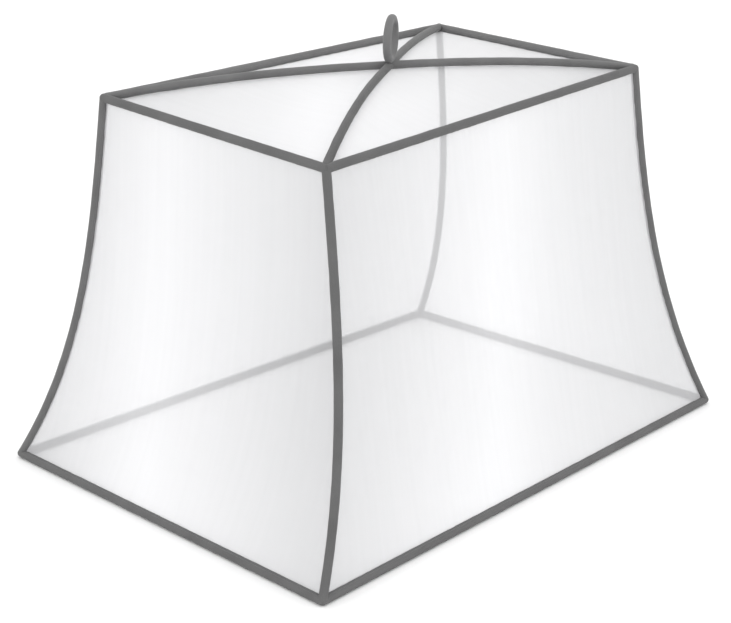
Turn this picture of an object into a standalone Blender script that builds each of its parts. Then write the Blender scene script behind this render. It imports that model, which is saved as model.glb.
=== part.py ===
"""Mosquito net canopy: net roof and walls with bound edges, crossed arched ribs and a hanging loop.

Metres, +Z up, +X along the length. The origin is where the loop hangs on its hook, so the whole
canopy lies below it. Sizes are taken between the centre lines of the bindings. The corners are
called front, right, back and left, as they stand when the canopy is seen over its front corner.
"""

import math
from collections import namedtuple

import bmesh
import bpy
from mathutils import Matrix, Vector
from mathutils.geometry import intersect_line_line

# The hung shape
TOP_LENGTH = 1.975
TOP_WIDTH = 1.126
HEM_LENGTH = 2.489
HEM_WIDTH = 1.677
DROP = 1.500                # from the top edge down to the hem
CROWN_RISE = 0.066          # roof panel's middle over the top edge
CROWN_LEAN = 0.025          # how much fuller the roof stands to the front, and flatter to the back
RIDGE_POWER = 2.2           # how far out a ridge keeps its height: higher is further
ROOF_SEAM_DROP = 0.013      # roof panel's edge under the top edge

# Cloth and trims
NET_THICKNESS = 0.0015
RIDGE_GAP_SHARE = 0.0008    # half of the gap between two gores of the roof, as a share of its half sizes
BINDING_RADIUS = 0.0175
RIB_RADIUS = 0.0165
TUBE_SIDES = 12
CLEARANCE = 0.0003          # between pieces that touch
RIB_SLOPE_ROOM = 0.0006     # more under a rib, whose slope brings it nearer to the roof

# Hanging loop, rolled from the same tape as the bindings and standing along the front to back ribs
LOOP_HEIGHT = 0.197
LOOP_BREADTH = 0.192
LOOP_SINK = 0.010           # how far its foot is pressed down over the ribs' crossing
LOOP_SEGMENTS = 40

# Mesh density of the panels
ROOF_CELLS = 16
WALL_ROWS = 12
WALL_COLUMNS_LONG = 20
WALL_COLUMNS_SHORT = 14

BINDING_GREY = (0.155, 0.155, 0.155)
NET_WHITE = (0.84, 0.84, 0.86)

# A row for each corner: its end of the length and side of the width, how far the hung cloth pulls
# its top and its hem off the true box, and its seam's inward bow along and across. The bow's power
# says how far down the seam keeps its bow: higher is lower.
Corner = namedtuple("Corner", "along across top_x top_y top_z hem_x hem_y bow_x bow_y bow_power")
CORNERS = {
    "front": Corner(-1, -1, -0.014, -0.024, -0.017, -0.012, -0.006, 0.081, 0.006, 3.2),
    "right": Corner(1, -1, -0.019, 0.043, 0.007, 0.026, 0.007, 0.049, 0.063, 2.8),
    "back": Corner(1, 1, 0.000, 0.000, 0.001, -0.056, -0.063, 0.029, 0.110, 2.8),
    "left": Corner(-1, 1, -0.005, 0.019, 0.009, 0.012, 0.029, 0.046, 0.085, 3.1),
}

# A row for each soft fold of a wall: its place across the wall, its half width as a share of the
# wall, how far it goes in (or stands out, below zero), and how far down it is deepest. A side also
# gives the way that it faces.
Fold = namedtuple("Fold", "place half_width depth lowest")
Side = namedtuple("Side", "start end facing columns folds")
SIDES = {
    "front_left": Side("front", "left", (-1, 0), WALL_COLUMNS_SHORT, (
        Fold(0.24, 0.16, 0.009, 0.70),
        Fold(0.47, 0.14, -0.007, 0.62),
        Fold(0.71, 0.17, 0.010, 0.74),
    )),
    "front_right": Side("right", "front", (0, -1), WALL_COLUMNS_LONG, (
        Fold(0.17, 0.12, 0.008, 0.72),
        Fold(0.34, 0.11, -0.007, 0.64),
        Fold(0.55, 0.14, 0.011, 0.75),
        Fold(0.78, 0.13, 0.007, 0.66),
    )),
    "back_right": Side("back", "right", (1, 0), WALL_COLUMNS_SHORT, (
        Fold(0.28, 0.17, 0.010, 0.72),
        Fold(0.63, 0.18, 0.008, 0.66),
    )),
    "back_left": Side("left", "back", (0, 1), WALL_COLUMNS_LONG, (
        Fold(0.20, 0.13, 0.010, 0.74),
        Fold(0.43, 0.12, -0.008, 0.62),
        Fold(0.66, 0.14, 0.009, 0.70),
        Fold(0.86, 0.10, -0.005, 0.64),
    )),
}

# The long rib's sleeve runs from corner to corner. The sleeves of the other two corners end on its
# sides at the crown, so that the ribs cross at one level.
LONG_RIB = ("left", "right")
SHORT_RIBS = ("front", "back")

RIB_LIFT = NET_THICKNESS / 2.0 + CLEARANCE + RIB_SLOPE_ROOM + RIB_RADIUS      # over the roof's cloth
LOOP_BASE = CROWN_RISE + RIB_LIFT + RIB_RADIUS - LOOP_SINK
TOP_LEVEL = 2.0 * BINDING_RADIUS - LOOP_HEIGHT - LOOP_BASE
HEM_LEVEL = TOP_LEVEL - DROP
SEAM_REACH = BINDING_RADIUS + CLEARANCE                                       # clear of a corner roll
EDGE_REACH = BINDING_RADIUS / math.cos(math.pi / TUBE_SIDES) + CLEARANCE      # clear of an edge roll
TUBE_CLEARANCE = CLEARANCE / math.cos(math.pi / TUBE_SIDES)                   # at a tube's corners
UP = Vector((0.0, 0.0, 1.0))


# Scene, collections and finishes

def clear_scene():
    for old in list(bpy.data.objects):
        bpy.data.objects.remove(old, do_unlink=True)


def make_collection(name):
    collection = bpy.data.collections.new(name)
    bpy.context.scene.collection.children.link(collection)
    return collection


def make_material(name, colour, roughness):
    material = bpy.data.materials.new(name)
    material.use_nodes = True
    shader = material.node_tree.nodes["Principled BSDF"]
    shader.inputs["Base Color"].default_value = (*colour, 1.0)
    shader.inputs["Roughness"].default_value = roughness
    shader.inputs["Metallic"].default_value = 0.0
    return material


def add_object(name, data, collection):
    piece = bpy.data.objects.new(name, data)
    collection.objects.link(piece)
    return piece


def finish_trim(piece, parent):
    piece.parent = parent
    piece.data.shade_smooth()
    piece.data.set_sharp_from_angle(angle=math.radians(50.0))
    piece.data.materials.append(make_material(piece.name, BINDING_GREY, 0.85))


def finish_panel(piece, parent):
    piece.parent = parent
    piece.data.shade_smooth()
    piece.data.materials.append(make_material(piece.name, NET_WHITE, 0.90))
    sheet = piece.modifiers.new("thickness", "SOLIDIFY")
    sheet.thickness = NET_THICKNESS
    sheet.offset = 0.0
    sheet.use_even_offset = True


# Where the seams and edges run

def top_corner(name):
    corner = CORNERS[name]
    x = corner.along * TOP_LENGTH / 2.0 + corner.top_x
    y = corner.across * TOP_WIDTH / 2.0 + corner.top_y
    return Vector((x, y, TOP_LEVEL + corner.top_z))


def hem_corner(name):
    corner = CORNERS[name]
    x = corner.along * HEM_LENGTH / 2.0 + corner.hem_x
    y = corner.across * HEM_WIDTH / 2.0 + corner.hem_y
    return Vector((x, y, HEM_LEVEL))


def seam_line(name):
    """Centre line of a corner seam, from the top edge to the hem, bowed inwards."""
    corner = CORNERS[name]
    inward = Vector((-corner.along * corner.bow_x, -corner.across * corner.bow_y, 0.0))
    power = corner.bow_power
    fullest = power ** (-1.0 / (power - 1.0))
    line = []
    for row in range(WALL_ROWS + 1):
        drop = row / WALL_ROWS
        bow = (drop - drop ** power) / (fullest - fullest ** power)
        line.append(top_corner(name).lerp(hem_corner(name), drop) + inward * bow)
    return line


def inset_corners(outline, margin):
    """Corners of an outline that runs anticlockwise, moved in from both of their edges."""
    names = list(outline)
    edges = []
    for place, name in enumerate(names):
        start, end = outline[name], outline[names[(place + 1) % len(names)]]
        inward = UP.cross(end - start).normalized() * margin
        edges.append((start + inward, end + inward))
    moved = {}
    for place, name in enumerate(names):
        one, other = intersect_line_line(*edges[place - 1], *edges[place])
        moved[name] = one.lerp(other, 0.5)
    return moved


ROOF_MARGIN = math.sqrt((EDGE_REACH + NET_THICKNESS / 2.0) ** 2 - ROOF_SEAM_DROP ** 2)
ROOF_CORNERS = inset_corners({name: top_corner(name) for name in CORNERS}, ROOF_MARGIN)
ROOF_CENTRE = sum(ROOF_CORNERS.values(), Vector()) / 4.0
CROWN_PULL = Vector((-ROOF_CENTRE.x, -ROOF_CENTRE.y, 0.0))      # brings the crossing under the hook


def roof_point(x_share, y_share):
    """Middle of the roof's cloth, for shares from -1 to 1: highest on the diagonals, under the ribs."""
    near = ROOF_CORNERS["front"].lerp(ROOF_CORNERS["right"], (x_share + 1.0) / 2.0)
    far = ROOF_CORNERS["left"].lerp(ROOF_CORNERS["back"], (x_share + 1.0) / 2.0)
    point = near.lerp(far, (y_share + 1.0) / 2.0)
    reach = max(abs(x_share), abs(y_share))
    off_middle = min(abs(x_share), abs(y_share)) / reach if reach > 0.0 else 0.0
    rise = (1.0 - reach) + (reach - reach ** RIDGE_POWER) * off_middle ** 2
    lean = (1.0 - reach ** 2) * (x_share + y_share) / 2.0
    point += CROWN_PULL * (1.0 - abs(x_share)) * (1.0 - abs(y_share))
    point.z += (CROWN_RISE + ROOF_SEAM_DROP) * rise - ROOF_SEAM_DROP - CROWN_LEAN * lean
    return point


# Panels of net

def clear_step(line, row, across):
    """Distance to go across from a seam's centre line to be clear of its binding."""
    step = 0.0
    for low in (row - 1, row):
        if 0 <= low < len(line) - 1:
            run = (line[low + 1] - line[low]).normalized()
            step = max(step, SEAM_REACH / across.cross(run).length)
    return step


def trim_row(edge, inner, along):
    """An edge row moved towards its neighbour until it is clear of the binding that runs along it."""
    moved = []
    for start, end in zip(edge, inner):
        run = (end - start).normalized()
        moved.append(start + run * EDGE_REACH / along.cross(run).length)
    return moved


def fold_depth(folds, across, drop):
    """How far the folds take the cloth in, at shares across the wall and down it."""
    depth = 0.0
    for fold in folds:
        off = abs(across - fold.place) / fold.half_width
        if off < 1.0:
            peak = drop ** (1.0 / (1.0 - fold.lowest)) * (1.0 - drop)
            top = fold.lowest ** (1.0 / (1.0 - fold.lowest)) * (1.0 - fold.lowest)
            depth += fold.depth * math.cos(off * math.pi / 2.0) ** 2 * peak / top
    return depth


def wall_rows(side):
    """Points of a wall's cloth, row by row from its top seam to its hem seam."""
    start, end = seam_line(side.start), seam_line(side.end)
    rows = []
    for row in range(WALL_ROWS + 1):
        across = (end[row] - start[row]).normalized()
        first = start[row] + across * clear_step(start, row, across)
        last = end[row] - across * clear_step(end, row, across)
        inward = across.cross(UP)
        line = []
        for column in range(side.columns + 1):
            share = column / side.columns
            depth = fold_depth(side.folds, share, row / WALL_ROWS)
            line.append(first.lerp(last, share) + inward * depth)
        rows.append(line)
    rows[0] = trim_row(rows[0], rows[1], (end[0] - start[0]).normalized())
    rows[-1] = trim_row(rows[-1], rows[-2], (end[-1] - start[-1]).normalized())
    return rows


def build_wall(name, side, parent, collection):
    rows = wall_rows(side)
    cloth = bmesh.new()
    bmesh.ops.create_grid(cloth, x_segments=side.columns, y_segments=WALL_ROWS, size=0.5)
    for point in cloth.verts:
        column = round((point.co.x + 0.5) * side.columns)
        row = round((0.5 - point.co.y) * WALL_ROWS)
        point.co = rows[row][column]
    mesh = bpy.data.meshes.new(name)
    cloth.to_mesh(mesh)
    cloth.free()
    finish_panel(add_object(name, mesh, collection), parent)


def split_along_diagonals(cloth):
    """Divide the cells on both diagonals of the roof's grid, where its ridges run."""
    for cell in list(cloth.faces):
        middle = cell.calc_center_median()
        if abs(abs(middle.x) - abs(middle.y)) < 1e-4:
            on_ridge = [corner for corner in cell.verts if abs(abs(corner.co.x) - abs(corner.co.y)) < 1e-4]
            bmesh.utils.face_split(cell, on_ridge[0], on_ridge[1])


def build_gore(name, side, parent, collection):
    """A quarter of the roof, from one top edge to the crown, that ends under the ribs on two ridges."""
    facing = Vector((*side.facing, 0.0))
    sideways = UP.cross(facing)
    cloth = bmesh.new()
    bmesh.ops.create_grid(cloth, x_segments=ROOF_CELLS, y_segments=ROOF_CELLS, size=1.0)
    split_along_diagonals(cloth)
    others = []
    for cell in cloth.faces:
        middle = cell.calc_center_median()
        if middle.dot(facing) < abs(middle.dot(sideways)):
            others.append(cell)
    bmesh.ops.delete(cloth, geom=others, context="FACES")
    for point in cloth.verts:
        off = point.co.dot(sideways)
        if point.co.length < 1e-4:
            point.co = facing * RIDGE_GAP_SHARE
        elif point.co.dot(facing) - abs(off) < 1e-4:
            point.co -= sideways * math.copysign(RIDGE_GAP_SHARE, off)
        point.co = roof_point(point.co.x, point.co.y)
    mesh = bpy.data.meshes.new(name)
    cloth.to_mesh(mesh)
    cloth.free()
    finish_panel(add_object(name, mesh, collection), parent)


# Bindings

def straight_roll(name, ends, neighbours, radius, overrun, collection):
    """A round roll between two corners, mitred there against the rolls that go on to the neighbours.

    The radius is to its facets, one of which faces down. With an overrun above zero its ends pass
    the mitres by that much; below zero they stop short.
    """
    start, end = ends
    run = end - start
    roll = bmesh.new()
    corner_radius = radius / math.cos(math.pi / TUBE_SIDES)
    bmesh.ops.create_cone(roll, cap_ends=True, segments=TUBE_SIDES, radius1=corner_radius,
                          radius2=corner_radius, depth=run.length + 6.0 * radius)
    bmesh.ops.rotate(roll, verts=roll.verts, matrix=Matrix.Rotation(math.pi / TUBE_SIDES, 3, "Z"))
    side = UP.cross(run).normalized()
    turn = Matrix((side, run.normalized().cross(side), run.normalized())).transposed()
    piece = add_object(name, bpy.data.meshes.new(name), collection)
    piece.location = (start + end) / 2.0
    piece.rotation_euler = turn.to_euler()
    for corner, other, onward in ((start, end, neighbours[0]), (end, start, neighbours[1])):
        outward = ((corner - other).normalized() + (onward - corner).normalized()).normalized()
        cut_at = turn.transposed() @ (corner + outward * overrun - piece.location)
        geometry = roll.verts[:] + roll.edges[:] + roll.faces[:]
        bmesh.ops.bisect_plane(roll, geom=geometry, plane_co=cut_at,
                               plane_no=turn.transposed() @ outward, clear_outer=True)
        rim = [edge for edge in roll.edges if edge.is_boundary]
        bmesh.ops.contextual_create(roll, geom=rim)
    bmesh.ops.recalc_face_normals(roll, faces=roll.faces)
    roll.to_mesh(piece.data)
    roll.free()
    return piece


def edge_and_neighbours(side_name, corner_at):
    """A side's two corners at one level, and the corner next to each of them on the other sides."""
    order = list(CORNERS)
    side = SIDES[side_name]
    beyond = []
    for name, other in ((side.start, side.end), (side.end, side.start)):
        place = order.index(name)
        around = (order[place - 1], order[(place + 1) % len(order)])
        beyond.append(corner_at(around[0] if around[1] == other else around[1]))
    return (corner_at(side.start), corner_at(side.end)), beyond


def make_cutter(piece):
    piece.hide_render = True
    piece.display_type = "WIRE"
    return piece


def cut_clear(piece, cutters):
    """Cut a piece clear of its neighbours, which are given as slightly fatter cutters."""
    for cutter in cutters:
        cut = piece.modifiers.new(f"clear_of_{cutter.name}", "BOOLEAN")
        cut.operation = "DIFFERENCE"
        cut.object = cutter


def build_edge_bindings(parent, collection, cutter_collection):
    """Bindings round the top edge and the hem. Gives a cutter for each of them."""
    cutters = []
    for level, corner_at in (("top", top_corner), ("hem", hem_corner)):
        for side_name in SIDES:
            ends, neighbours = edge_and_neighbours(side_name, corner_at)
            piece = straight_roll(f"{level}_binding_{side_name}", ends, neighbours,
                                  BINDING_RADIUS, -CLEARANCE / 2.0, collection)
            finish_trim(piece, parent)
            cutter = straight_roll(f"{level}_clearance_{side_name}", ends, neighbours,
                                   BINDING_RADIUS + CLEARANCE, CLEARANCE, cutter_collection)
            cutters.append(make_cutter(cutter))
    return cutters


def soft_tube(name, line, radius, collection, closed=False):
    """A round tube along a line of points, as a welded mesh. A closed one is a ring."""
    curve = bpy.data.curves.new(name, "CURVE")
    curve.dimensions = "3D"
    curve.bevel_depth = radius
    curve.bevel_resolution = (TUBE_SIDES - 4) // 2
    curve.use_fill_caps = True
    spline = curve.splines.new("POLY")
    spline.use_cyclic_u = closed
    spline.points.add(len(line) - 1)
    for point, place in zip(spline.points, line):
        point.co = (*place, 1.0)
    guide = add_object(name + "_line", curve, collection)
    bpy.context.view_layer.update()
    evaluated = guide.evaluated_get(bpy.context.evaluated_depsgraph_get())
    piece = add_object(name, bpy.data.meshes.new_from_object(evaluated), collection)
    piece.matrix_world = guide.matrix_world
    bpy.data.objects.remove(guide, do_unlink=True)
    shell = bmesh.new()
    shell.from_mesh(piece.data)
    bmesh.ops.remove_doubles(shell, verts=shell.verts, dist=0.00005)
    shell.to_mesh(piece.data)
    shell.free()
    return piece


def build_corner_bindings(parent, collection, cutters):
    for name in CORNERS:
        piece = soft_tube(f"corner_binding_{name}", seam_line(name), BINDING_RADIUS, collection)
        finish_trim(piece, parent)
        cut_clear(piece, cutters)


# Spreader ribs

def half_rib(name):
    """Centre line of half a rib: from the crown along the roof's ridge, and down into a corner."""
    corner = CORNERS[name]
    cells = ROOF_CELLS // 2
    line = []
    for cell in range(cells + 1):
        share = cell / cells
        line.append(roof_point(corner.along * share, corner.across * share) + UP * RIB_LIFT)
    line.append(top_corner(name))
    return line


def build_ribs(parent, collection, edge_cutters, cutter_collection):
    """The long rib, and the two that end on its sides. Gives a cutter for each of them."""
    near, far = (half_rib(name) for name in LONG_RIB)
    lines = {"_".join(LONG_RIB): near[:0:-1] + far}
    lines.update((name, half_rib(name)) for name in SHORT_RIBS)
    cutters = []
    for name, line in lines.items():
        piece = soft_tube(f"rib_{name}", line, RIB_RADIUS, collection)
        finish_trim(piece, parent)
        cut_clear(piece, edge_cutters + cutters[:1])
        cutter = soft_tube(f"rib_clearance_{name}", line, RIB_RADIUS + TUBE_CLEARANCE, cutter_collection)
        cutters.append(make_cutter(cutter))
    return cutters


# Hanging loop

def build_loop(parent, collection, cutters):
    """The loop, with its foot pressed over the crossing. The hook's point is the origin."""
    run = (top_corner("back") - top_corner("front"))
    run.z = 0.0
    run.normalize()
    breadth = LOOP_BREADTH / 2.0 - BINDING_RADIUS
    height = LOOP_HEIGHT / 2.0 - BINDING_RADIUS
    line = []
    for step in range(LOOP_SEGMENTS):
        angle = 2.0 * math.pi * step / LOOP_SEGMENTS
        line.append(run * breadth * math.sin(angle) + UP * (height * (math.cos(angle) - 1.0) + BINDING_RADIUS))
    piece = soft_tube("hanging_loop", line, BINDING_RADIUS, collection, closed=True)
    finish_trim(piece, parent)
    cut_clear(piece, cutters)


def main():
    clear_scene()
    collection = make_collection("mosquito_net_canopy")
    cutters = make_collection("clearance_cutters")
    canopy = add_object("canopy", None, collection)
    for name, side in SIDES.items():
        build_gore(f"roof_{name}", side, canopy, collection)
        build_wall(f"wall_{name}", side, canopy, collection)
    edge_cutters = build_edge_bindings(canopy, collection, cutters)
    rib_cutters = build_ribs(canopy, collection, edge_cutters, cutters)
    build_corner_bindings(canopy, collection, edge_cutters + rib_cutters)
    build_loop(canopy, collection, rib_cutters)


main()
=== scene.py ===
"""Looks of the mosquito net canopy: sheer net, padded tape bindings, sleeved ribs, a rolled loop.

Metres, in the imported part's frame: +X along the length, +Z up, the origin where the loop hangs.
Sizes are taken between the centre lines of the bindings, as in the part. The corners are called
front, right, back and left, as they stand when the canopy is seen over its front corner.
"""

import math
import random
from collections import namedtuple

import bmesh
import bpy
from mathutils import Matrix, Vector, noise
from mathutils.geometry import intersect_line_line


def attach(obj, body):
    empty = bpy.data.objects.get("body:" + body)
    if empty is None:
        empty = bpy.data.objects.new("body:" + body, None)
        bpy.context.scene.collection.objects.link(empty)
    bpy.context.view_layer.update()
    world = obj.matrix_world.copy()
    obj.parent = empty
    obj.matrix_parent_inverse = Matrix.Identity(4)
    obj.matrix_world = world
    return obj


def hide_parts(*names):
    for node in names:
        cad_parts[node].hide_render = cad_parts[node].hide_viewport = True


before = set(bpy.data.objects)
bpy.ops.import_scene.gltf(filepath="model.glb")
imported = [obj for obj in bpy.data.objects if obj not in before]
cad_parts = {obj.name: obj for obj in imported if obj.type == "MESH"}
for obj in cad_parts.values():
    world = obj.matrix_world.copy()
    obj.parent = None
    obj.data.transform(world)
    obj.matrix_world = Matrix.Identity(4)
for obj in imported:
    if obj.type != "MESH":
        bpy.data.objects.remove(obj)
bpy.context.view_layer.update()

# The hung shape
TOP_LENGTH = 1.975
TOP_WIDTH = 1.126
HEM_LENGTH = 2.489
HEM_WIDTH = 1.677
DROP = 1.500
SEAM_LENGTH = 1.58          # of a corner seam, bow and flare included
CROWN_RISE = 0.066
CROWN_LEAN = 0.025
RIDGE_POWER = 2.2
ROOF_SEAM_DROP = 0.013
NET_THICKNESS = 0.0015
CLEARANCE = 0.0003          # between solids that are sewn together

# Bindings: rolls of tape over a padded seam
BINDING_RADIUS = 0.0175
ROLL_FULLNESS = 0.985       # share of the solid's radius that leaves room for a bowed roll's bumps
ROLL_SIDES = 24
ROLL_STEP = 0.0065          # between the rings of a roll
END_STEPS = 10              # closer rings at each end
END_REACH = 0.018           # that they fill
TUCKED = 0.0020             # how far the net's edge goes into a roll
MITRE_GAP = 0.0002
JOIN_TUCK = 0.0006          # how far one roll's end goes into the roll that it is sewn to
TRIM_STEP = 0.0002          # by which a roll's end is walked back to there
TRIM_LIMIT = 400
SAME_POINT = 0.000002       # nearer than this, two points of a roll are one

# A roll's skin: slow unevenness, and beside each row of stitches a soft pull and a fine groove.
# Widths are in radians round the roll.
UNEVEN_DEPTH = 0.0008
UNEVEN_LENGTH = 0.07
PULL_DEPTH = 0.0005
PULL_SWING = 0.0007
PULL_LENGTH = 0.011
PULL_WIDTH = 0.42
GROOVE_DEPTH = 0.0004
GROOVE_WIDTH = 0.10

# Stitches, and where their rows run round each kind of roll
STITCH_STEP = 0.0066
STITCH_SIZE = (0.0021, 0.00055, 0.00042)     # half its length, width and height
STITCH_SINK = 0.0001
STITCH_SWING = 0.12         # how far a stitch may turn, in radians
STITCH_MARGIN = 0.03        # without stitches, at the ends of a seam or rib
LOOP_FOOT_MARGIN = 0.035    # without stitches, on each side of the loop's foot
TOP_ROWS = (math.radians(24.0), math.radians(246.0))
HEM_ROWS = (math.radians(62.0), math.radians(118.0))
SEAM_ROWS = (math.radians(68.0), math.radians(292.0))
RIB_ROWS = (math.radians(205.0), math.radians(335.0))

# Spreader ribs: a springy rod in a cloth sleeve
RIB_RADIUS = 0.0165
RIB_SLOPE_ROOM = 0.0006     # more room over the roof, because a slanted sleeve comes nearer to it
SLEEVE_SLACK = 1.3          # how much stronger a sleeve's bumps are than a roll's

# Hanging loop: a ring of the same tape, with its foot pressed over the ribs' crossing
LOOP_HEIGHT = 0.197
LOOP_BREADTH = 0.192
LOOP_SINK = 0.010
LOOP_STEPS = 96

# Net panels
NET_CELL = 0.0125           # of its grid
ROOF_SAG = 0.004            # between the ribs and the top edge, with as much unevenness
ROOF_WAVE = 0.22
SEED_STEP = 7.3             # sets the walls' small creases apart

# Looks
MESH_SIZE = 0.0018
MESH_SLANT = math.radians(32.0)
NET_OPACITY = 0.60
NET_WHITE = (0.90, 0.90, 0.915)
# Painted light: the walls are made paler towards the hem, to lift the shade of the floor inside
# that shows through them there.
LOWER_PAINTED_LIGHT = 0.13           # how much paler the walls are at the hem
LOWER_PAINTED_LIGHT_POWER = 1.6
BAND_BLUR = 0.05            # over which the tones' corners are rounded off
TAPE_GREY = 0.134
THREAD_GREY = (0.27, 0.27, 0.275)
FLOOR_WHITE = (0.93, 0.93, 0.93)
FLOOR_GAP = 0.0004          # under the hem
FLOOR_SIZE = 30.0
WORLD_STRENGTH = 1.25
WAVE_REPEAT = math.pi / 10.0     # the wave node's scale for one band to each whole number

# Wear of the tape: paler on the crest that rubs, and a slow change of dye along a roll
PLAIN_TONE = 0.98
CREST_TONE = 0.04
CREST_WIDTH = 0.5
DYE_SWING = 0.05
DYE_LENGTH = 0.16

# Camera, as it stood for the picture
CAMERA_PLACE = (-5.600, -4.815, 1.578)
CAMERA_YAW = math.radians(-48.77)
CAMERA_PITCH = math.radians(20.77)
CAMERA_ROLL = math.radians(1.63)
CAMERA_LENS = 92.93

UP = Vector((0.0, 0.0, 1.0))
RIB_LIFT = NET_THICKNESS / 2.0 + CLEARANCE + RIB_SLOPE_ROOM + RIB_RADIUS
LOOP_BASE = CROWN_RISE + RIB_LIFT + RIB_RADIUS - LOOP_SINK
TOP_LEVEL = 2.0 * BINDING_RADIUS - LOOP_HEIGHT - LOOP_BASE
HEM_LEVEL = TOP_LEVEL - DROP
FLOOR_LEVEL = HEM_LEVEL - BINDING_RADIUS - FLOOR_GAP

# A row for each corner, as in the part: its end of the length and side of the width, how far the
# hung cloth pulls its top and its hem, its seam's inward bow, and how low the bow is.
Corner = namedtuple("Corner", "along across top_x top_y top_z hem_x hem_y bow_x bow_y bow_power")
CORNERS = {
    "front": Corner(-1, -1, -0.014, -0.024, -0.017, -0.012, -0.006, 0.081, 0.006, 3.2),
    "right": Corner(1, -1, -0.019, 0.043, 0.007, 0.026, 0.007, 0.049, 0.063, 2.8),
    "back": Corner(1, 1, 0.000, 0.000, 0.001, -0.056, -0.063, 0.029, 0.110, 2.8),
    "left": Corner(-1, 1, -0.005, 0.019, 0.009, 0.012, 0.029, 0.046, 0.085, 3.1),
}

# A row for each soft fold of a wall, as in the part. Each side also has the way that it faces, a
# number that tells its small creases apart, and its tones: a few soft plumb bands, as
# (place, tone) rows, where place is how far to the right of the crown they are, as the camera sees
# it. slant is how far they drift from the top edge to the hem.
Fold = namedtuple("Fold", "place half_width depth lowest")
Side = namedtuple("Side", "start end facing folds seed slant tones")
# The tones rows of each side are soft bands of painted light and shade on its wall.
SIDES = {
    "front_left": Side("front", "left", (-1, 0), (
        Fold(0.24, 0.16, 0.009, 0.70),
        Fold(0.47, 0.14, -0.007, 0.62),
        Fold(0.71, 0.17, 0.010, 0.74),
    ), 1, -0.08, ((-1.30, 0.63), (-0.88, 0.91), (-0.20, 0.58))),
    "front_right": Side("right", "front", (0, -1), (
        Fold(0.17, 0.12, 0.008, 0.72),
        Fold(0.34, 0.11, -0.007, 0.64),
        Fold(0.55, 0.14, 0.011, 0.75),
        Fold(0.78, 0.13, 0.007, 0.66),
    ), 2, 0.04, ((-0.20, 0.61), (0.45, 0.93), (0.70, 0.78), (1.25, 0.64))),
    "back_right": Side("back", "right", (1, 0), (
        Fold(0.28, 0.17, 0.010, 0.72),
        Fold(0.63, 0.18, 0.008, 0.66),
    ), 3, 0.0, ((0.20, 0.86), (0.75, 0.92), (1.30, 0.72))),
    "back_left": Side("left", "back", (0, 1), (
        Fold(0.20, 0.13, 0.010, 0.74),
        Fold(0.43, 0.12, -0.008, 0.62),
        Fold(0.66, 0.14, 0.009, 0.70),
        Fold(0.86, 0.10, -0.005, 0.64),
    ), 4, 0.0, ((-1.30, 0.80), (-0.50, 0.94), (0.20, 0.86))),
}
# The roof's soft bands of painted light and shade, as rows of the same kind
ROOF_PAINTED_BANDS = ((-0.92, 0.72), (-0.45, 0.81), (-0.24, 0.93), (0.00, 0.88), (0.95, 0.63))

# Painted light and shade: how much paler or darker each piece of tape is made beside the others,
# to even out how differently the light falls on them. An edge that isn't named has the plain
# value.
PLAIN_PAINTED_LIGHT = 0.92
PAINTED_LIGHT_OF_PIECES = {"top_front_left": 0.88, "top_front_right": 0.85, "top_back_left": 1.20,
        "top_back_right": 1.25, "front": 0.90, "right": 1.00, "back": 1.00, "left": 1.05,
        "rib_left_right": 1.16, "rib_front": 0.75, "rib_back": 0.90, "loop": 1.28}

# Small creases of the net. Waves run down a wall. Puckers die away from a seam within their reach,
# and cut is where the noise that makes them is read.
Wave = namedtuple("Wave", "depth width height")
Pucker = namedtuple("Pucker", "depth reach width cut")
WALL_WAVES = (Wave(0.0085, 0.20, 1.3), Wave(0.0035, 0.075, 0.9))
WAVE_MARGIN = 0.15          # beside a corner seam, where the waves fade
TOP_PUCKER = Pucker(0.0030, 0.055, 0.026, 0.3)
HEM_PUCKER = Pucker(0.0028, 0.050, 0.031, 0.7)
SEAM_PUCKER = Pucker(0.0022, 0.035, 0.028, 0.2)
ROOF_PUCKER = Pucker(0.0026, 0.045, 0.027, 0.4)

# The long rib's sleeve runs from corner to corner. The other two end on its sides at the crown.
LONG_RIB = ("left", "right")
SHORT_RIBS = ("front", "back")


# Where the seams and edges run

def top_corner(name):
    corner = CORNERS[name]
    x = corner.along * TOP_LENGTH / 2.0 + corner.top_x
    y = corner.across * TOP_WIDTH / 2.0 + corner.top_y
    return Vector((x, y, TOP_LEVEL + corner.top_z))


def hem_corner(name):
    corner = CORNERS[name]
    x = corner.along * HEM_LENGTH / 2.0 + corner.hem_x
    y = corner.across * HEM_WIDTH / 2.0 + corner.hem_y
    return Vector((x, y, HEM_LEVEL))


def seam_point(name, drop):
    """Centre line of a corner seam at a share of the drop."""
    corner = CORNERS[name]
    inward = Vector((-corner.along * corner.bow_x, -corner.across * corner.bow_y, 0.0))
    power = corner.bow_power
    fullest = power ** (-1.0 / (power - 1.0))
    bow = (drop - drop ** power) / (fullest - fullest ** power)
    return top_corner(name).lerp(hem_corner(name), drop) + inward * bow


def inset_corners(outline, margin):
    """Corners of an outline that runs anticlockwise, moved in from both of their edges."""
    names = list(outline)
    edges = []
    for place, name in enumerate(names):
        start, end = outline[name], outline[names[(place + 1) % len(names)]]
        inward = UP.cross(end - start).normalized() * margin
        edges.append((start + inward, end + inward))
    moved = {}
    for place, name in enumerate(names):
        one, other = intersect_line_line(*edges[place - 1], *edges[place])
        moved[name] = one.lerp(other, 0.5)
    return moved


ROOF_MARGIN = math.sqrt((BINDING_RADIUS - TUCKED) ** 2 - ROOF_SEAM_DROP ** 2)
ROOF_CORNERS = inset_corners({name: top_corner(name) for name in CORNERS}, ROOF_MARGIN)
ROOF_CENTRE = sum(ROOF_CORNERS.values(), Vector()) / 4.0
CROWN_PULL = Vector((-ROOF_CENTRE.x, -ROOF_CENTRE.y, 0.0))   # brings the crossing under the hook


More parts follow.
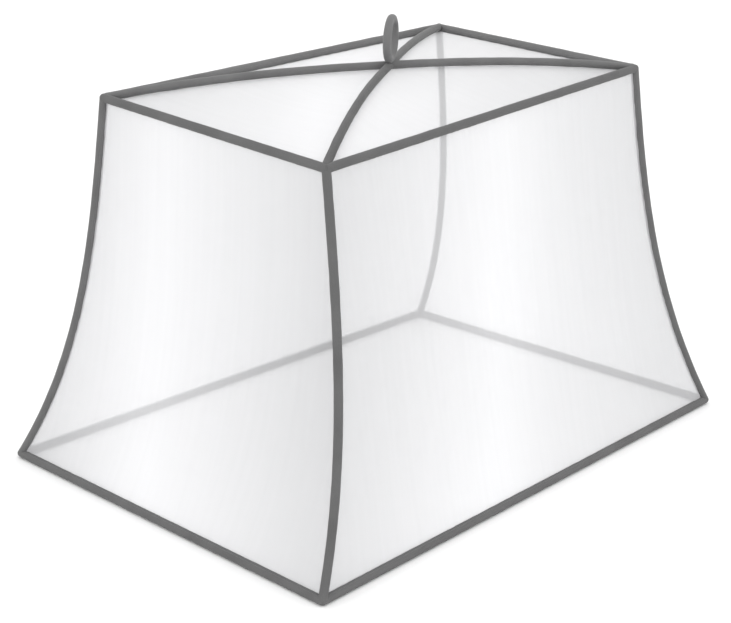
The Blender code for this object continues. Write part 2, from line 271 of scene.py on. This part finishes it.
def roof_point(x_share, y_share):
    """Middle of the roof's cloth, for shares from -1 to 1. It is highest under the ribs."""
    near = ROOF_CORNERS["front"].lerp(ROOF_CORNERS["right"], (x_share + 1.0) / 2.0)
    far = ROOF_CORNERS["left"].lerp(ROOF_CORNERS["back"], (x_share + 1.0) / 2.0)
    point = near.lerp(far, (y_share + 1.0) / 2.0)
    reach = max(abs(x_share), abs(y_share))
    off_middle = min(abs(x_share), abs(y_share)) / reach if reach > 0.0 else 0.0
    rise = (1.0 - reach) + (reach - reach ** RIDGE_POWER) * off_middle ** 2
    lean = (1.0 - reach ** 2) * (x_share + y_share) / 2.0
    point += CROWN_PULL * (1.0 - abs(x_share)) * (1.0 - abs(y_share))
    point.z += (CROWN_RISE + ROOF_SEAM_DROP) * rise - ROOF_SEAM_DROP - CROWN_LEAN * lean
    return point


def to_segment(point, start, end):
    """Distance from a point to a straight line between two ends."""
    run = end - start
    share = min(max((point - start).dot(run) / run.length_squared, 0.0), 1.0)
    return (point - start - run * share).length


def to_edges(point, corner_at):
    """Distance to the nearest centre line of the four edge bindings at one level."""
    names = list(CORNERS)
    return min(to_segment(point, corner_at(names[place - 1]), corner_at(name))
               for place, name in enumerate(names))


def smooth_share(share):
    share = min(max(share, 0.0), 1.0)
    return share * share * (3.0 - 2.0 * share)


def to_the_right(point):
    """How far a point is to the right of the crown, as the camera sees it."""
    return point.x * math.cos(CAMERA_YAW) + point.y * math.sin(CAMERA_YAW)


def between(rows, place):
    """A value between the (place, value) rows around it, or that of the nearest row."""
    place = max(place, rows[0][0])
    for (low, before), (high, after) in zip(rows, rows[1:]):
        if place <= high:
            return before + (after - before) * (place - low) / (high - low)
    return rows[-1][1]


def soft_band(rows, place):
    """The value of the rows at a place, with their corners rounded off."""
    around = [between(rows, place + BAND_BLUR * step / 2.0) for step in (-2, -1, 0, 1, 2)]
    return sum(around) / len(around)


# Materials

class Finish:
    """A material's nodes, with short calls for the ones that are used again and again."""

    def __init__(self, name, roughness, sheen=0.0):
        self.material = bpy.data.materials.new(name)
        self.material.use_nodes = True
        self.tree = self.material.node_tree
        self.shader = self.tree.nodes["Principled BSDF"]
        self.shader.inputs["Roughness"].default_value = roughness
        self.shader.inputs["Specular IOR Level"].default_value = 0.25
        self.shader.inputs["Sheen Weight"].default_value = sheen
        self.shader.inputs["Sheen Roughness"].default_value = 0.45

    def node(self, kind, inputs=None, **settings):
        made = self.tree.nodes.new(kind)
        for key, value in settings.items():
            setattr(made, key, value)
        for key, value in (inputs or {}).items():
            if isinstance(value, bpy.types.NodeSocket):
                self.tree.links.new(value, made.inputs[key])
            else:
                made.inputs[key].default_value = value
        return made

    def maths(self, operation, first, second=0.0, clamp=False):
        return self.node("ShaderNodeMath", {0: first, 1: second}, operation=operation,
                         use_clamp=clamp).outputs[0]

    def cloth_place(self, scale, turn=0.0):
        """The cloth's own flat coordinates, scaled so that a whole number is one repeat."""
        flat = self.node("ShaderNodeUVMap", uv_map="cloth").outputs["UV"]
        return self.node("ShaderNodeMapping", {"Vector": flat, "Scale": scale,
                                               "Rotation": (0.0, 0.0, turn)}).outputs["Vector"]

    def bands(self, place):
        """Even bands, one to each whole number of the place's first coordinate."""
        return self.node("ShaderNodeTexWave",
                         {"Vector": place, "Scale": WAVE_REPEAT}).outputs["Fac"]

    def cloud(self, scale, detail=2.0, place=None):
        place = place or self.node("ShaderNodeTexCoord").outputs["Object"]
        return self.node("ShaderNodeTexNoise", {"Vector": place, "Scale": scale,
                                                "Detail": detail}).outputs["Fac"]

    def ranged(self, value, low, high, start=0.0, end=1.0):
        return self.node("ShaderNodeMapRange", {"Value": value, "From Min": start, "From Max": end,
                                                "To Min": low, "To Max": high}).outputs["Result"]

    def shade(self, colour, *tones):
        """A colour made lighter and darker by tones around one."""
        tone = tones[0]
        for other in tones[1:]:
            tone = self.maths("MULTIPLY", tone, other)
        return self.node("ShaderNodeVectorMath", {0: colour, "Scale": tone},
                         operation="SCALE").outputs["Vector"]

    def finish(self, colour, height, depth, strength):
        self.tree.links.new(colour, self.shader.inputs["Base Color"])
        bump = self.node("ShaderNodeBump",
                         {"Height": height, "Distance": depth, "Strength": strength})
        self.tree.links.new(bump.outputs["Normal"], self.shader.inputs["Normal"])
        return self.material


def net_finish():
    """Sheer knitted net: a fine diamond mesh, faint streaks down the knit, and painted bands of
    light and shade.
    """
    made = Finish("sheer_net", 0.62, sheen=0.15)
    per_metre = 1.0 / MESH_SIZE
    mesh = (per_metre, per_metre, 1.0)
    threads = made.maths("MAXIMUM", made.bands(made.cloth_place(mesh, MESH_SLANT)),
                         made.bands(made.cloth_place(mesh, -MESH_SLANT)))
    streaks = made.cloud(1.0, 3.0, made.cloth_place((38.0, 0.7, 1.0)))
    tone = made.node("ShaderNodeAttribute", attribute_name="tone").outputs["Fac"]
    colour = made.shade(NET_WHITE, tone, made.ranged(threads, 0.97, 1.02),
                        made.ranged(streaks, 0.985, 1.012, 0.3, 0.7))
    made.shader.inputs["Alpha"].default_value = NET_OPACITY
    return made.finish(colour, threads, 0.0002, 0.25)


def tape_finish(name, repeat, slant, bump):
    """Woven cotton tape: slanted twill or straight ribs, uneven dye, a paler worn crest, and
    painted light and shade that differs from piece to piece.
    """
    made = Finish(name, 0.86, sheen=0.12)
    per_metre = 1.0 / repeat
    weave = made.bands(made.cloth_place((per_metre, per_metre, 1.0), slant))
    cross = made.bands(made.cloth_place((per_metre, per_metre, 1.0), slant + math.radians(90.0)))
    dye_and_painted_light = made.cloud(7.0, 4.0)
    fibres = made.cloud(420.0, 2.0)
    # The tone attribute holds the worn crest, a slow change of dye, and each piece's painted light
    # and shade.
    wear_and_painted_light = made.node("ShaderNodeAttribute", attribute_name="tone").outputs["Fac"]
    colour = made.shade((TAPE_GREY, TAPE_GREY, TAPE_GREY), wear_and_painted_light,
                        made.ranged(dye_and_painted_light, 0.90, 1.10, 0.3, 0.7),
                        made.ranged(fibres, 0.94, 1.06, 0.3, 0.7),
                        made.ranged(weave, 0.90, 1.07))
    height = made.maths("ADD", made.maths("MULTIPLY", weave, 0.7),
                        made.maths("ADD", made.maths("MULTIPLY", cross, 0.3), fibres))
    rough = made.ranged(dye_and_painted_light, 0.80, 0.92, 0.3, 0.7)
    made.tree.links.new(rough, made.shader.inputs["Roughness"])
    return made.finish(colour, height, bump, 0.5)


def thread_finish():
    made = Finish("sewing_thread", 0.6)
    twist = made.bands(made.cloth_place((900.0, 900.0, 1.0), math.radians(40.0)))
    colour = made.shade(THREAD_GREY, made.ranged(made.cloud(60.0), 0.9, 1.1))
    return made.finish(colour, twist, 0.0001, 0.4)


def floor_finish():
    made = Finish("pale_floor", 0.9)
    colour = made.shade(FLOOR_WHITE, made.ranged(made.cloud(0.6), 0.995, 1.005))
    return made.finish(colour, made.cloud(30.0), 0.0002, 0.1)


NET = net_finish()
TAPE = tape_finish("binding_tape", 0.0016, math.radians(38.0), 0.0004)
SLEEVE = tape_finish("rib_sleeve_cloth", 0.0013, 0.0, 0.0003)
THREAD = thread_finish()


# Cloth and rolls from grids

def grid_of_cloth(columns, rows, place, tone):
    """A grid whose points place() puts in the air, and whose UVs are the flat cloth in metres.

    place and tone take a column and a row from 0, left to right and top to bottom. place gives the
    point and its flat coordinates.
    """
    cloth = bmesh.new()
    flat = cloth.loops.layers.uv.new("cloth")
    toned = cloth.verts.layers.float.new("tone")
    bmesh.ops.create_grid(cloth, x_segments=columns, y_segments=rows, size=0.5, calc_uvs=False)
    flats = {}
    for point in cloth.verts:
        column = round((point.co.x + 0.5) * columns)
        row = round((0.5 - point.co.y) * rows)
        point.co, flats[point] = place(column, row)
        point[toned] = tone(column, row)
    for face in cloth.faces:
        for corner in face.loops:
            corner[flat].uv = flats[corner.vert]
    return cloth


def add_piece(name, cloth, materials, crease=50.0):
    mesh = bpy.data.meshes.new(name)
    cloth.to_mesh(mesh)
    cloth.free()
    mesh.shade_smooth()
    mesh.set_sharp_from_angle(angle=math.radians(crease))
    for material in materials:
        mesh.materials.append(material)
    piece = bpy.data.objects.new(name, mesh)
    bpy.context.scene.collection.objects.link(piece)
    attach(piece, "root")
    return piece


def close_roll(roll):
    """Join a roll's long edge and close its two ends with a fan of small faces."""
    bmesh.ops.remove_doubles(roll, verts=roll.verts, dist=SAME_POINT)
    rims = [edge for edge in roll.edges if edge.is_boundary]
    ends = bmesh.ops.holes_fill(roll, edges=rims, sides=0)["faces"]
    bmesh.ops.poke(roll, faces=ends)
    bmesh.ops.recalc_face_normals(roll, faces=roll.faces)


def ring_shares(length):
    """Shares of a roll's length where its rings are, closer together at both ends."""
    near = [END_REACH * step / END_STEPS for step in range(END_STEPS)]
    middle = max(1, round((length - 2.0 * END_REACH) / ROLL_STEP))
    body = [END_REACH + (length - 2.0 * END_REACH) * step / middle for step in range(middle + 1)]
    far = [length - place for place in reversed(near)]
    return [place / length for place in near + body + far]


def roll_of_tape(length, spans, surface, wear_and_painted_light):
    """A closed roll. spans holds each line's first and last distance along it, by its angle."""
    shares = ring_shares(length)
    round_it = 2.0 * math.pi * BINDING_RADIUS

    def place(column, row):
        first, last = spans[column % ROLL_SIDES]
        along = first + (last - first) * shares[row]
        angle = 2.0 * math.pi * (column % ROLL_SIDES) / ROLL_SIDES
        return surface(along, angle), (round_it * column / ROLL_SIDES, along)

    def tone(column, row):
        return wear_and_painted_light(shares[row] * length, 2.0 * math.pi * column / ROLL_SIDES)

    roll = grid_of_cloth(ROLL_SIDES, len(shares) - 1, place, tone)
    close_roll(roll)
    return roll


def sew(cloth, surface, angles, start, end, seed):
    """Rows of single stitches along a roll, each a small raised thread."""
    luck = random.Random(seed)
    count = int((end - start) / STITCH_STEP)
    for angle in angles:
        for place in range(count):
            along = start + (place + 0.5) * STITCH_STEP
            middle = surface(along, angle)
            run = (surface(along + 0.001, angle) - surface(along - 0.001, angle)).normalized()
            side = (surface(along, angle + 0.06) - surface(along, angle - 0.06)).normalized()
            out = run.cross(side).normalized()
            run = Matrix.Rotation(luck.uniform(-STITCH_SWING, STITCH_SWING), 3, out) @ run
            side = out.cross(run)
            turn = Matrix((run, side, out)).transposed().to_4x4()
            turn.translation = middle - out * STITCH_SINK
            shape = Matrix.Diagonal((*STITCH_SIZE, 1.0))
            made = bmesh.ops.create_icosphere(cloth, subdivisions=1, radius=1.0,
                                              matrix=turn @ shape)
            for point in made["verts"]:
                for face in point.link_faces:
                    face.material_index = 1
                    face.smooth = True


def puckers(along, angle, rows, seed):
    """How far a roll's skin stands out: its unevenness, less what its rows of stitches draw in."""
    uneven = UNEVEN_DEPTH * noise.noise(
        Vector((along / UNEVEN_LENGTH, math.cos(angle) * 0.8, seed)))
    drawn = 0.0
    for row in rows:
        off = abs(math.remainder(angle - row, 2.0 * math.pi))
        swing = PULL_SWING * noise.noise(Vector((along / PULL_LENGTH, seed + row, 4.0)))
        drawn += (PULL_DEPTH + swing) * math.exp(-(off / PULL_WIDTH) ** 2)
        drawn += GROOVE_DEPTH * math.exp(-(off / GROOVE_WIDTH) ** 2)
    return uneven - drawn


# Bindings

def edge_ends(side, corner_at):
    """A side's two corners, so that inward x up runs from the first to the second."""
    return corner_at(side.end), corner_at(side.start)


def corner_beyond(side, name, corner_at):
    """The corner that the other edge at a corner runs to."""
    order = list(CORNERS)
    place = order.index(name)
    around = (order[place - 1], order[(place + 1) % len(order)])
    other = side.start if name == side.end else side.end
    return corner_at(around[0] if around[1] == other else around[1])


def edge_surface(start, end, rows, seed):
    """Surface of a straight roll, by distance from its first corner and angle from inward."""
    run = (end - start).normalized()
    inward = UP.cross(run).normalized()
    above = run.cross(inward)
    length = (end - start).length

    def surface(along, angle):
        radius = BINDING_RADIUS + puckers(along, angle, rows, seed)
        offset = (inward * math.cos(angle) + above * math.sin(angle)) * radius
        past = min(along, 0.0) + max(along - length, 0.0)
        if past:
            corner = start if past < 0.0 else end
            return corner + (offset + run * past).normalized() * radius
        return start + run * along + offset

    return surface


def edge_spans(start, end, before, after):
    """Where each line of a straight roll meets the mitres at its two ends."""
    run = (end - start).normalized()
    inward = UP.cross(run).normalized()
    above = run.cross(inward)
    length = (end - start).length
    first_mitre = ((start - end).normalized() + (before - start).normalized()).normalized()
    last_mitre = (run + (after - end).normalized()).normalized()
    spans = []
    for column in range(ROLL_SIDES):
        angle = 2.0 * math.pi * column / ROLL_SIDES
        offset = (inward * math.cos(angle) + above * math.sin(angle)) * BINDING_RADIUS
        first = -(-MITRE_GAP - offset.dot(first_mitre)) / (-run).dot(first_mitre)
        last = (-MITRE_GAP - offset.dot(last_mitre)) / run.dot(last_mitre)
        spans.append((first, length + last))
    return spans


def wear_and_painted_light_of_roll(crest, seed, dye_and_painted_light):
    """Paler along the crest that rubs, darker beside it, and a little different all along, all
    scaled by the piece's painted light and shade.
    """
    def wear_and_painted_light(along, angle):
        off = abs(math.remainder(angle - crest, 2.0 * math.pi))
        rubbed = CREST_TONE * math.exp(-(off / CREST_WIDTH) ** 2)
        swing = DYE_SWING * noise.noise(Vector((along / DYE_LENGTH, seed, 2.0)))
        # The first factor is the piece's painted light and shade; the rest is wear and dye.
        return dye_and_painted_light * (PLAIN_TONE + rubbed + swing)
    return wear_and_painted_light


def make_edge_bindings():
    """Top and hem bindings, mitred at the corners, with a round elbow on the outer side."""
    for level, corner_at, rows in (("top", top_corner, TOP_ROWS), ("hem", hem_corner, HEM_ROWS)):
        for name, side in SIDES.items():
            seed = side.seed + (10 if level == "hem" else 0)
            start, end = edge_ends(side, corner_at)
            before = corner_beyond(side, side.end, corner_at)
            after = corner_beyond(side, side.start, corner_at)
            length = (end - start).length
            surface = edge_surface(start, end, rows, seed)
            spans = edge_spans(start, end, before, after)
            # Painted light and shade of this piece of tape
            dye_and_painted_light = PAINTED_LIGHT_OF_PIECES.get(f"{level}_{name}", PLAIN_PAINTED_LIGHT)
            wear_and_painted_light = wear_and_painted_light_of_roll(math.radians(150.0), seed, dye_and_painted_light)
            roll = roll_of_tape(length, spans, surface, wear_and_painted_light)
            sew(roll, surface, rows, BINDING_RADIUS, length - BINDING_RADIUS, seed)
            node = f"{level}_binding_{name}"
            piece = add_piece(f"{node}_roll", roll, (TAPE, THREAD))
            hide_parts(node)


def corner_surface(name, seed):
    """Surface of a corner roll, by distance down its seam and angle from the canopy's inside."""
    corner = CORNERS[name]
    facing = Vector((-corner.along, -corner.across, 0.0)).normalized()

    def surface(along, angle):
        drop = along / SEAM_LENGTH
        middle = seam_point(name, max(drop, 0.0)) - UP * min(drop, 0.0) * DROP
        below = seam_point(name, max(drop, 0.0) + 0.002)
        run = (below - seam_point(name, max(drop, 0.0))).normalized()
        inside = (facing - run * facing.dot(run)).normalized()
        radius = BINDING_RADIUS * ROLL_FULLNESS + puckers(along, angle, SEAM_ROWS, seed)
        return middle + (inside * math.cos(angle) + run.cross(inside) * math.sin(angle)) * radius

    return surface


def trimmed(surface, angle, start, step, corner_at):
    """Where a line of a roll comes clear of the edge bindings, walking by steps from its end."""
    along = start
    for _ in range(TRIM_LIMIT):
        if to_edges(surface(along, angle), corner_at) > BINDING_RADIUS - JOIN_TUCK:
            break
        along += step
    return along


def make_corner_bindings():
    """Rolls down the corner seams, sewn to the edge bindings at both ends."""
    for place, name in enumerate(CORNERS):
        surface = corner_surface(name, 20 + place)
        spans = []
        for column in range(ROLL_SIDES):
            angle = 2.0 * math.pi * column / ROLL_SIDES
            spans.append((trimmed(surface, angle, 0.0, TRIM_STEP, top_corner),
                          trimmed(surface, angle, SEAM_LENGTH * 0.9998, -TRIM_STEP, hem_corner)))
        wear_and_painted_light = wear_and_painted_light_of_roll(math.pi, 20 + place, PAINTED_LIGHT_OF_PIECES[name])
        roll = roll_of_tape(SEAM_LENGTH, spans, surface, wear_and_painted_light)
        sew(roll, surface, SEAM_ROWS, STITCH_MARGIN, SEAM_LENGTH - STITCH_MARGIN, 20 + place)
        piece = add_piece(f"corner_binding_{name}_roll", roll, (TAPE, THREAD))
        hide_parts(f"corner_binding_{name}")


# Net panels

def pucker_depth(pucker, off_seam, along, seed):
    """Depth of the puckers beside a seam, by the distances from it and along it."""
    crest = noise.noise(Vector((along / pucker.width, pucker.cut, seed)))
    return pucker.depth * math.exp(-off_seam / pucker.reach) * crest


def small_creases(side, across, down):
    """The cloth's own unevenness: slow waves down the wall, and small puckers beside each seam."""
    top = (top_corner(side.start) - top_corner(side.end)).length
    hem = (hem_corner(side.start) - hem_corner(side.end)).length
    width = top + (hem - top) * down
    place, fallen = across * width, down * DROP
    seed = side.seed * SEED_STEP
    beside = min(place, width - place)
    free = smooth_share(beside / WAVE_MARGIN) * math.sin(math.pi * min(down * 1.05, 1.0)) ** 0.5
    depth = 0.0
    for order, wave in enumerate(WALL_WAVES):
        crest = noise.noise(Vector((place / wave.width, fallen / wave.height, seed + order)))
        depth += free * wave.depth * crest
    depth += pucker_depth(TOP_PUCKER, fallen, place, seed + 2.0)
    depth += pucker_depth(HEM_PUCKER, DROP - fallen, place, seed + 3.0)
    depth += pucker_depth(SEAM_PUCKER, beside, fallen, seed + 4.0)
    return depth


def fold_depth(folds, across, drop):
    """How far the folds take the cloth in, at shares across and down the wall, as in the part."""
    depth = 0.0
    for fold in folds:
        off = abs(across - fold.place) / fold.half_width
        if off < 1.0:
            peak = drop ** (1.0 / (1.0 - fold.lowest)) * (1.0 - drop)
            top = fold.lowest ** (1.0 / (1.0 - fold.lowest)) * (1.0 - fold.lowest)
            depth += fold.depth * math.cos(off * math.pi / 2.0) ** 2 * peak / top
    return depth


def make_wall(name, side):
    columns = round((hem_corner(side.start) - hem_corner(side.end)).length / NET_CELL)
    rows = round(SEAM_LENGTH / NET_CELL)
    edge = (BINDING_RADIUS - TUCKED) / DROP

    def place(column, row):
        across, down = column / columns, edge + (1.0 - 2.0 * edge) * row / rows
        start, end = seam_point(side.start, down), seam_point(side.end, down)
        run = (end - start).normalized()
        margin = run * (BINDING_RADIUS - TUCKED)
        depth = fold_depth(side.folds, across, down) + small_creases(side, across, down)
        point = (start + margin).lerp(end - margin, across) + run.cross(UP) * depth
        width = (end - start).length
        return point, ((across - 0.5) * width, down * SEAM_LENGTH)

    # Painted light and shade: the side's soft bands, and painted light that grows towards the hem.
    def tone(column, row):
        down = row / rows
        drift = side.slant * (down - 0.5)
        band = soft_band(side.tones, to_the_right(place(column, row)[0]) - drift)
        return band + LOWER_PAINTED_LIGHT * down ** LOWER_PAINTED_LIGHT_POWER

    cloth = grid_of_cloth(columns, rows, place, tone)
    piece = add_piece(f"wall_{name}_net", cloth, (NET,), crease=180.0)
    area = sum(face.area for face in piece.data.polygons)
    width = (hem_corner(side.start) - hem_corner(side.end)).length
    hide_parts(f"wall_{name}")


def make_gore(name, side):
    """A quarter of the roof, from its top edge to the crown. Its long edges are under the ribs."""
    facing = Vector((*side.facing, 0.0))
    sideways = UP.cross(facing)
    reach = TOP_LENGTH if side.facing[0] else TOP_WIDTH
    columns = 2 * round((TOP_WIDTH if side.facing[0] else TOP_LENGTH) / NET_CELL / 2.0)
    rows = round(reach / 2.0 / NET_CELL)

    def place(column, row):
        out = max(1.0 - row / rows, 0.0)
        share = facing * out + sideways * out * (2.0 * column / columns - 1.0)
        point = roof_point(share.x, share.y)
        from_edge = (1.0 - out) * reach / 2.0
        off_ridge = min(column, columns - column) / columns * out * TOP_LENGTH
        slack = smooth_share(off_ridge / 0.16) * smooth_share(from_edge / 0.12)
        swing = noise.noise(Vector((point.x / ROOF_WAVE, point.y / ROOF_WAVE, 6.0)))
        point.z += ROOF_SAG * slack * (swing - 1.0)
        along = point.y if side.facing[0] else point.x
        point.z += pucker_depth(ROOF_PUCKER, from_edge, along, 8.0)
        return point, (point.x, point.y)

    # Painted light and shade: the roof's soft bands.
    def tone(column, row):
        return soft_band(ROOF_PAINTED_BANDS, to_the_right(place(column, row)[0]))

    cloth = grid_of_cloth(columns, rows, place, tone)
    bmesh.ops.remove_doubles(cloth, verts=cloth.verts, dist=0.0005)
    piece = add_piece(f"roof_{name}_net", cloth, (NET,), crease=180.0)
    area = sum(face.area for face in piece.data.polygons)
    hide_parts(f"roof_{name}")


# Spreader ribs

def half_rib_point(name, distance):
    """Half a rib's centre line, by distance from the crown over the roof's ridge into a corner."""
    corner = CORNERS[name]
    over_roof = (ROOF_CORNERS[name] - roof_point(0.0, 0.0)).length
    share = min(distance / over_roof, 1.0)
    point = roof_point(corner.along * share, corner.across * share) + UP * RIB_LIFT
    if distance > over_roof:
        point += (top_corner(name) - point).normalized() * (distance - over_roof)
    return point


def half_rib_length(name):
    over_roof = (ROOF_CORNERS[name] - roof_point(0.0, 0.0)).length
    return over_roof + (top_corner(name) - half_rib_point(name, over_roof)).length


def rib_surface(middle, seed):
    """Surface of a rib's sleeve round its centre line, by distance and by angle from sideways."""
    def surface(along, angle):
        run = (middle(along + 0.002) - middle(along - 0.002)).normalized()
        side = run.cross(UP).normalized()
        outward = side * math.cos(angle) + side.cross(run) * math.sin(angle)
        bumps = SLEEVE_SLACK * puckers(along, angle, RIB_ROWS, seed)
        return middle(along) + outward * (RIB_RADIUS * ROLL_FULLNESS + bumps)
    return surface


def make_rib(name, middle, start, end, seed, clear_of=None):
    """A sleeve between two distances. One that ends on another rib is trimmed to its side."""
    surface = rib_surface(middle, seed)
    spans = []
    for column in range(ROLL_SIDES):
        angle = 2.0 * math.pi * column / ROLL_SIDES
        if clear_of:
            first = start
            while clear_of(surface(first, angle)) < RIB_RADIUS - JOIN_TUCK:
                first += TRIM_STEP
        else:
            first = trimmed(surface, angle, start, TRIM_STEP, top_corner)
        spans.append((first, trimmed(surface, angle, end, -TRIM_STEP, top_corner)))
    wear_and_painted_light = wear_and_painted_light_of_roll(math.radians(90.0), seed, PAINTED_LIGHT_OF_PIECES[f"rib_{name}"])
    roll = roll_of_tape(end - start, spans, surface, wear_and_painted_light)
    sew(roll, surface, RIB_ROWS, start + STITCH_MARGIN, end - STITCH_MARGIN, seed)
    piece = add_piece(f"rib_{name}_sleeve", roll, (SLEEVE, THREAD))
    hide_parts(f"rib_{name}")


def make_ribs():
    near, far = LONG_RIB
    near_length, far_length = half_rib_length(near), half_rib_length(far)

    def long_middle(along):
        return half_rib_point(far, along) if along > 0.0 else half_rib_point(near, -along)

    def off_long(point):
        away = math.copysign(point.xy.length, point.xy.dot(top_corner(far).xy))
        return to_segment(point, long_middle(away - 0.02), long_middle(away + 0.02))

    make_rib("_".join(LONG_RIB), long_middle, -near_length, far_length, 30)
    for place, name in enumerate(SHORT_RIBS):
        make_rib(name, lambda along, name=name: half_rib_point(name, along), 0.0,
                 half_rib_length(name), 31 + place, off_long)


# Hanging loop

def make_loop():
    run = top_corner("back") - top_corner("front")
    run.z = 0.0
    run.normalize()
    side = run.cross(UP)
    breadth, height = LOOP_BREADTH / 2.0 - BINDING_RADIUS, LOOP_HEIGHT / 2.0 - BINDING_RADIUS
    around = math.pi * (breadth + height)

    def surface(along, angle):
        turn = 2.0 * math.pi * along / around
        level = height * (math.cos(turn) - 1.0) + BINDING_RADIUS
        middle = run * breadth * math.sin(turn) + UP * level
        ahead = (run * breadth * math.cos(turn) - UP * height * math.sin(turn)).normalized()
        outward = side.cross(ahead)
        radius = BINDING_RADIUS * ROLL_FULLNESS + puckers(along, angle, SEAM_ROWS, 40)
        return middle + (side * math.sin(angle) + outward * math.cos(angle)) * radius

    def place(column, row):
        angle = 2.0 * math.pi * (column % ROLL_SIDES) / ROLL_SIDES
        along = around * (row % LOOP_STEPS) / LOOP_STEPS
        return surface(along, angle), (2.0 * math.pi * BINDING_RADIUS * column / ROLL_SIDES,
                                       around * row / LOOP_STEPS)

    wear_and_painted_light = wear_and_painted_light_of_roll(math.pi, 40, PAINTED_LIGHT_OF_PIECES["loop"])
    roll = grid_of_cloth(ROLL_SIDES, LOOP_STEPS, place,
                         lambda column, row: wear_and_painted_light(0.0, 2.0 * math.pi * column / ROLL_SIDES))
    bmesh.ops.remove_doubles(roll, verts=roll.verts, dist=SAME_POINT)
    bmesh.ops.recalc_face_normals(roll, faces=roll.faces)
    foot = 0.5 * around
    sew(roll, surface, SEAM_ROWS, 0.0, foot - LOOP_FOOT_MARGIN, 40)
    sew(roll, surface, SEAM_ROWS, foot + LOOP_FOOT_MARGIN, around, 41)
    piece = add_piece("hanging_loop_roll", roll, (TAPE, THREAD))
    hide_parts("hanging_loop")


# Floor, light and camera

def make_stage():
    floor = bmesh.new()
    floor.loops.layers.uv.new("cloth")
    bmesh.ops.create_grid(floor, x_segments=1, y_segments=1, size=FLOOR_SIZE)
    bmesh.ops.translate(floor, verts=floor.verts, vec=(0.0, 0.0, FLOOR_LEVEL))
    mesh = bpy.data.meshes.new("floor")
    floor.to_mesh(mesh)
    floor.free()
    mesh.materials.append(floor_finish())
    stage = bpy.data.objects.new("floor", mesh)
    bpy.context.scene.collection.objects.link(stage)


def add_softbox(name, place, aim, size, power):
    lamp = bpy.data.lights.new(name, "AREA")
    lamp.shape = "SQUARE"
    lamp.size = size
    lamp.energy = power
    holder = bpy.data.objects.new(name, lamp)
    holder.location = place
    holder.rotation_euler = (Vector(aim) - Vector(place)).to_track_quat("-Z", "Y").to_euler()
    bpy.context.scene.collection.objects.link(holder)


def make_light():
    world = bpy.data.worlds.new("white_studio")
    world.use_nodes = True
    background = world.node_tree.nodes["Background"]
    background.inputs["Color"].default_value = (1.0, 1.0, 1.0, 1.0)
    background.inputs["Strength"].default_value = WORLD_STRENGTH
    bpy.context.scene.world = world
    add_softbox("key_softbox", (-5.5, -2.0, 3.6), (0.0, 0.0, -1.0), 3.0, 24.0)
    add_softbox("fill_softbox", (3.0, -5.5, 3.0), (0.0, 0.0, -1.0), 3.0, 12.0)
    bpy.context.scene.view_settings.view_transform = "Standard"


def make_camera():
    ahead = Vector((-math.sin(CAMERA_YAW) * math.cos(CAMERA_PITCH),
                    math.cos(CAMERA_YAW) * math.cos(CAMERA_PITCH), -math.sin(CAMERA_PITCH)))
    right = Vector((math.cos(CAMERA_YAW), math.sin(CAMERA_YAW), 0.0))
    up = right.cross(ahead)
    tilted = right * math.cos(CAMERA_ROLL) + up * math.sin(CAMERA_ROLL)
    upright = up * math.cos(CAMERA_ROLL) - right * math.sin(CAMERA_ROLL)
    lens = bpy.data.cameras.new("camera")
    lens.lens = CAMERA_LENS
    lens.sensor_width = 36.0
    camera = bpy.data.objects.new("camera", lens)
    place = Matrix((tilted, upright, -ahead)).transposed().to_4x4()
    place.translation = CAMERA_PLACE
    camera.matrix_world = place
    bpy.context.scene.collection.objects.link(camera)
    bpy.context.scene.camera = camera


make_camera()
make_stage()
make_light()
for side_name, side_row in SIDES.items():
    make_gore(side_name, side_row)
    make_wall(side_name, side_row)
make_edge_bindings()
make_corner_bindings()
make_ribs()
make_loop()
